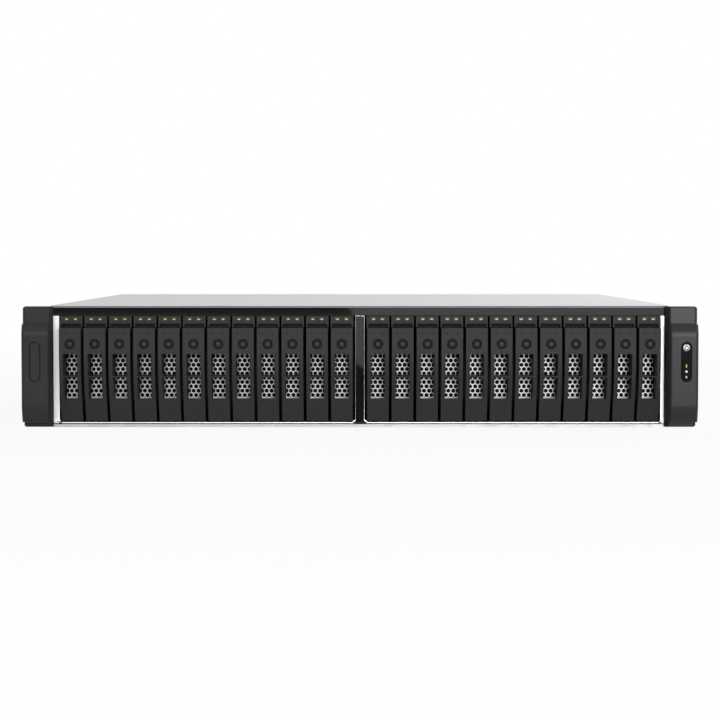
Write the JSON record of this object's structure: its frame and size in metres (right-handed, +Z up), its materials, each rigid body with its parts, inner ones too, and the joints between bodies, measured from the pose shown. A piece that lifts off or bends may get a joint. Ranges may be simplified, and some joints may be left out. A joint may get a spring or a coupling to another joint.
{
  "type": "rackmount storage server",
  "caption": "Two-unit rackmount storage server: silver sheet-metal chassis with rack ears and rows of upright drive trays whose levers hinge and whose trays slide out.",
  "frame": {"origin": "centre of the chassis bottom", "axes": "+Z up, +Y to the rear, the drive trays face -Y"},
  "size_m": [0.4826, 0.544, 0.088],
  "materials": {
    "galvanised_steel": "satin",
    "silver_painted_steel": "satin",
    "black_steel": "gloss",
    "ear_plastic": "satin",
    "button_metal": "satin",
    "circuit_board": "satin",
    "port_steel": "satin",
    "supply_steel": "satin",
    "fan_plastic": "satin",
    "tray_plastic": "satin",
    "lever_plastic": "satin"
  },
  "bodies": {
    "chassis": {"chassis_tub": "galvanised_steel", "drive_cage": "black_steel", "left_rack_ear": "ear_plastic", "right_rack_ear": "ear_plastic", "circuit_boards": "circuit_board", "rear_ports": "port_steel"},
    "cover": {"top_cover": "silver_painted_steel"},
    "button": {"power_button": "button_metal"},
    "supply_1": {"power_supply_1": "supply_steel"},
    "supply_2": {"power_supply_2": "supply_steel"},
    "rotor_1": {"fan_rotor_1": "fan_plastic"},
    "rotor_2": {"fan_rotor_2": "fan_plastic"},
    "tray_01": {"drive_tray_01": "tray_plastic"},
    "lever_01": {"tray_lever_01": "lever_plastic"},
    "tray_02": {"drive_tray_02": "tray_plastic"},
    "lever_02": {"tray_lever_02": "lever_plastic"},
    "tray_03": {"drive_tray_03": "tray_plastic"},
    "lever_03": {"tray_lever_03": "lever_plastic"},
    "tray_04": {"drive_tray_04": "tray_plastic"},
    "lever_04": {"tray_lever_04": "lever_plastic"},
    "tray_05": {"drive_tray_05": "tray_plastic"},
    "lever_05": {"tray_lever_05": "lever_plastic"},
    "tray_06": {"drive_tray_06": "tray_plastic"},
    "lever_06": {"tray_lever_06": "lever_plastic"},
    "tray_07": {"drive_tray_07": "tray_plastic"},
    "lever_07": {"tray_lever_07": "lever_plastic"},
    "tray_08": {"drive_tray_08": "tray_plastic"},
    "lever_08": {"tray_lever_08": "lever_plastic"},
    "tray_09": {"drive_tray_09": "tray_plastic"},
    "lever_09": {"tray_lever_09": "lever_plastic"},
    "tray_10": {"drive_tray_10": "tray_plastic"},
    "lever_10": {"tray_lever_10": "lever_plastic"},
    "tray_11": {"drive_tray_11": "tray_plastic"},
    "lever_11": {"tray_lever_11": "lever_plastic"},
    "tray_12": {"drive_tray_12": "tray_plastic"},
    "lever_12": {"tray_lever_12": "lever_plastic"},
    "tray_13": {"drive_tray_13": "tray_plastic"},
    "lever_13": {"tray_lever_13": "lever_plastic"},
    "tray_14": {"drive_tray_14": "tray_plastic"},
    "lever_14": {"tray_lever_14": "lever_plastic"},
    "tray_15": {"drive_tray_15": "tray_plastic"},
    "lever_15": {"tray_lever_15": "lever_plastic"},
    "tray_16": {"drive_tray_16": "tray_plastic"},
    "lever_16": {"tray_lever_16": "lever_plastic"},
    "tray_17": {"drive_tray_17": "tray_plastic"},
    "lever_17": {"tray_lever_17": "lever_plastic"},
    "tray_18": {"drive_tray_18": "tray_plastic"},
    "lever_18": {"tray_lever_18": "lever_plastic"},
    "tray_19": {"drive_tray_19": "tray_plastic"},
    "lever_19": {"tray_lever_19": "lever_plastic"},
    "tray_20": {"drive_tray_20": "tray_plastic"},
    "lever_20": {"tray_lever_20": "lever_plastic"},
    "tray_21": {"drive_tray_21": "tray_plastic"},
    "lever_21": {"tray_lever_21": "lever_plastic"},
    "tray_22": {"drive_tray_22": "tray_plastic"},
    "lever_22": {"tray_lever_22": "lever_plastic"},
    "tray_23": {"drive_tray_23": "tray_plastic"},
    "lever_23": {"tray_lever_23": "lever_plastic"},
    "tray_24": {"drive_tray_24": "tray_plastic"},
    "lever_24": {"tray_lever_24": "lever_plastic"}
  },
  "joints": [
    {"name": "cover_slide", "type": "slide", "parent": "chassis", "child": "cover", "axis": [0, 1, 0], "range_m": [0, 0.02]},
    {"name": "power_press", "type": "slide", "parent": "chassis", "child": "button", "axis": [0, 1, 0], "range_m": [0, 0.0015], "stiffness_N_per_m": 1200},
    {"name": "supply_1_slide", "type": "slide", "parent": "chassis", "child": "supply_1", "axis": [0, 1, 0], "range_m": [0, 0.18]},
    {"name": "supply_2_slide", "type": "slide", "parent": "chassis", "child": "supply_2", "axis": [0, 1, 0], "range_m": [0, 0.18]},
    {"name": "fan_1_spin", "type": "hinge", "parent": "chassis", "child": "rotor_1", "pos_m": [-0.07, -0.05, 0.0412], "axis": [0, 1, 0], "continuous": true},
    {"name": "fan_2_spin", "type": "hinge", "parent": "chassis", "child": "rotor_2", "pos_m": [0.07, -0.05, 0.0412], "axis": [0, 1, 0], "continuous": true},
    {"name": "tray_01_slide", "type": "slide", "parent": "chassis", "child": "tray_01", "axis": [0, -1, 0], "range_m": [0, 0.145]},
    {"name": "lever_01_hinge", "type": "hinge", "parent": "tray_01", "child": "lever_01", "pos_m": [-0.20767, -0.24692, 0.00896], "axis": [1, 0, 0], "range_deg": [0, 55]},
    {"name": "tray_02_slide", "type": "slide", "parent": "chassis", "child": "tray_02", "axis": [0, -1, 0], "range_m": [0, 0.145]},
    {"name": "lever_02_hinge", "type": "hinge", "parent": "tray_02", "child": "lever_02", "pos_m": [-0.18998, -0.24692, 0.00896], "axis": [1, 0, 0], "range_deg": [0, 55]},
    {"name": "tray_03_slide", "type": "slide", "parent": "chassis", "child": "tray_03", "axis": [0, -1, 0], "range_m": [0, 0.145]},
    {"name": "lever_03_hinge", "type": "hinge", "parent": "tray_03", "child": "lever_03", "pos_m": [-0.17228, -0.24692, 0.00896], "axis": [1, 0, 0], "range_deg": [0, 55]},
    {"name": "tray_04_slide", "type": "slide", "parent": "chassis", "child": "tray_04", "axis": [0, -1, 0], "range_m": [0, 0.145]},
    {"name": "lever_04_hinge", "type": "hinge", "parent": "tray_04", "child": "lever_04", "pos_m": [-0.15457, -0.24692, 0.00896], "axis": [1, 0, 0], "range_deg": [0, 55]},
    {"name": "tray_05_slide", "type": "slide", "parent": "chassis", "child": "tray_05", "axis": [0, -1, 0], "range_m": [0, 0.145]},
    {"name": "lever_05_hinge", "type": "hinge", "parent": "tray_05", "child": "lever_05", "pos_m": [-0.13687, -0.24692, 0.00896], "axis": [1, 0, 0], "range_deg": [0, 55]},
    {"name": "tray_06_slide", "type": "slide", "parent": "chassis", "child": "tray_06", "axis": [0, -1, 0], "range_m": [0, 0.145]},
    {"name": "lever_06_hinge", "type": "hinge", "parent": "tray_06", "child": "lever_06", "pos_m": [-0.11918, -0.24692, 0.00896], "axis": [1, 0, 0], "range_deg": [0, 55]},
    {"name": "tray_07_slide", "type": "slide", "parent": "chassis", "child": "tray_07", "axis": [0, -1, 0], "range_m": [0, 0.145]},
    {"name": "lever_07_hinge", "type": "hinge", "parent": "tray_07", "child": "lever_07", "pos_m": [-0.10147, -0.24692, 0.00896], "axis": [1, 0, 0], "range_deg": [0, 55]},
    {"name": "tray_08_slide", "type": "slide", "parent": "chassis", "child": "tray_08", "axis": [0, -1, 0], "range_m": [0, 0.145]},
    {"name": "lever_08_hinge", "type": "hinge", "parent": "tray_08", "child": "lever_08", "pos_m": [-0.08378, -0.24692, 0.00896], "axis": [1, 0, 0], "range_deg": [0, 55]},
    {"name": "tray_09_slide", "type": "slide", "parent": "chassis", "child": "tray_09", "axis": [0, -1, 0], "range_m": [0, 0.145]},
    {"name": "lever_09_hinge", "type": "hinge", "parent": "tray_09", "child": "lever_09", "pos_m": [-0.06607, -0.24692, 0.00896], "axis": [1, 0, 0], "range_deg": [0, 55]},
    {"name": "tray_10_slide", "type": "slide", "parent": "chassis", "child": "tray_10", "axis": [0, -1, 0], "range_m": [0, 0.145]},
    {"name": "lever_10_hinge", "type": "hinge", "parent": "tray_10", "child": "lever_10", "pos_m": [-0.04838, -0.24692, 0.00896], "axis": [1, 0, 0], "range_deg": [0, 55]},
    {"name": "tray_11_slide", "type": "slide", "parent": "chassis", "child": "tray_11", "axis": [0, -1, 0], "range_m": [0, 0.145]},
    {"name": "lever_11_hinge", "type": "hinge", "parent": "tray_11", "child": "lever_11", "pos_m": [-0.03068, -0.24692, 0.00896], "axis": [1, 0, 0], "range_deg": [0, 55]},
    {"name": "tray_12_slide", "type": "slide", "parent": "chassis", "child": "tray_12", "axis": [0, -1, 0], "range_m": [0, 0.145]},
    {"name": "lever_12_hinge", "type": "hinge", "parent": "tray_12", "child": "lever_12", "pos_m": [-0.01298, -0.24692, 0.00896], "axis": [1, 0, 0], "range_deg": [0, 55]},
    {"name": "tray_13_slide", "type": "slide", "parent": "chassis", "child": "tray_13", "axis": [0, -1, 0], "range_m": [0, 0.145]},
    {"name": "lever_13_hinge", "type": "hinge", "parent": "tray_13", "child": "lever_13", "pos_m": [0.01298, -0.24692, 0.00896], "axis": [1, 0, 0], "range_deg": [0, 55]},
    {"name": "tray_14_slide", "type": "slide", "parent": "chassis", "child": "tray_14", "axis": [0, -1, 0], "range_m": [0, 0.145]},
    {"name": "lever_14_hinge", "type": "hinge", "parent": "tray_14", "child": "lever_14", "pos_m": [0.03068, -0.24692, 0.00896], "axis": [1, 0, 0], "range_deg": [0, 55]},
    {"name": "tray_15_slide", "type": "slide", "parent": "chassis", "child": "tray_15", "axis": [0, -1, 0], "range_m": [0, 0.145]},
    {"name": "lever_15_hinge", "type": "hinge", "parent": "tray_15", "child": "lever_15", "pos_m": [0.04838, -0.24692, 0.00896], "axis": [1, 0, 0], "range_deg": [0, 55]},
    {"name": "tray_16_slide", "type": "slide", "parent": "chassis", "child": "tray_16", "axis": [0, -1, 0], "range_m": [0, 0.145]},
    {"name": "lever_16_hinge", "type": "hinge", "parent": "tray_16", "child": "lever_16", "pos_m": [0.06607, -0.24692, 0.00896], "axis": [1, 0, 0], "range_deg": [0, 55]},
    {"name": "tray_17_slide", "type": "slide", "parent": "chassis", "child": "tray_17", "axis": [0, -1, 0], "range_m": [0, 0.145]},
    {"name": "lever_17_hinge", "type": "hinge", "parent": "tray_17", "child": "lever_17", "pos_m": [0.08378, -0.24692, 0.00896], "axis": [1, 0, 0], "range_deg": [0, 55]},
    {"name": "tray_18_slide", "type": "slide", "parent": "chassis", "child": "tray_18", "axis": [0, -1, 0], "range_m": [0, 0.145]},
    {"name": "lever_18_hinge", "type": "hinge", "parent": "tray_18", "child": "lever_18", "pos_m": [0.10147, -0.24692, 0.00896], "axis": [1, 0, 0], "range_deg": [0, 55]},
    {"name": "tray_19_slide", "type": "slide", "parent": "chassis", "child": "tray_19", "axis": [0, -1, 0], "range_m": [0, 0.145]},
    {"name": "lever_19_hinge", "type": "hinge", "parent": "tray_19", "child": "lever_19", "pos_m": [0.11918, -0.24692, 0.00896], "axis": [1, 0, 0], "range_deg": [0, 55]},
    {"name": "tray_20_slide", "type": "slide", "parent": "chassis", "child": "tray_20", "axis": [0, -1, 0], "range_m": [0, 0.145]},
    {"name": "lever_20_hinge", "type": "hinge", "parent": "tray_20", "child": "lever_20", "pos_m": [0.13687, -0.24692, 0.00896], "axis": [1, 0, 0], "range_deg": [0, 55]},
    {"name": "tray_21_slide", "type": "slide", "parent": "chassis", "child": "tray_21", "axis": [0, -1, 0], "range_m": [0, 0.145]},
    {"name": "lever_21_hinge", "type": "hinge", "parent": "tray_21", "child": "lever_21", "pos_m": [0.15457, -0.24692, 0.00896], "axis": [1, 0, 0], "range_deg": [0, 55]},
    {"name": "tray_22_slide", "type": "slide", "parent": "chassis", "child": "tray_22", "axis": [0, -1, 0], "range_m": [0, 0.145]},
    {"name": "lever_22_hinge", "type": "hinge", "parent": "tray_22", "child": "lever_22", "pos_m": [0.17228, -0.24692, 0.00896], "axis": [1, 0, 0], "range_deg": [0, 55]},
    {"name": "tray_23_slide", "type": "slide", "parent": "chassis", "child": "tray_23", "axis": [0, -1, 0], "range_m": [0, 0.145]},
    {"name": "lever_23_hinge", "type": "hinge", "parent": "tray_23", "child": "lever_23", "pos_m": [0.18998, -0.24692, 0.00896], "axis": [1, 0, 0], "range_deg": [0, 55]},
    {"name": "tray_24_slide", "type": "slide", "parent": "chassis", "child": "tray_24", "axis": [0, -1, 0], "range_m": [0, 0.145]},
    {"name": "lever_24_hinge", "type": "hinge", "parent": "tray_24", "child": "lever_24", "pos_m": [0.20767, -0.24692, 0.00896], "axis": [1, 0, 0], "range_deg": [0, 55]}
  ]
}
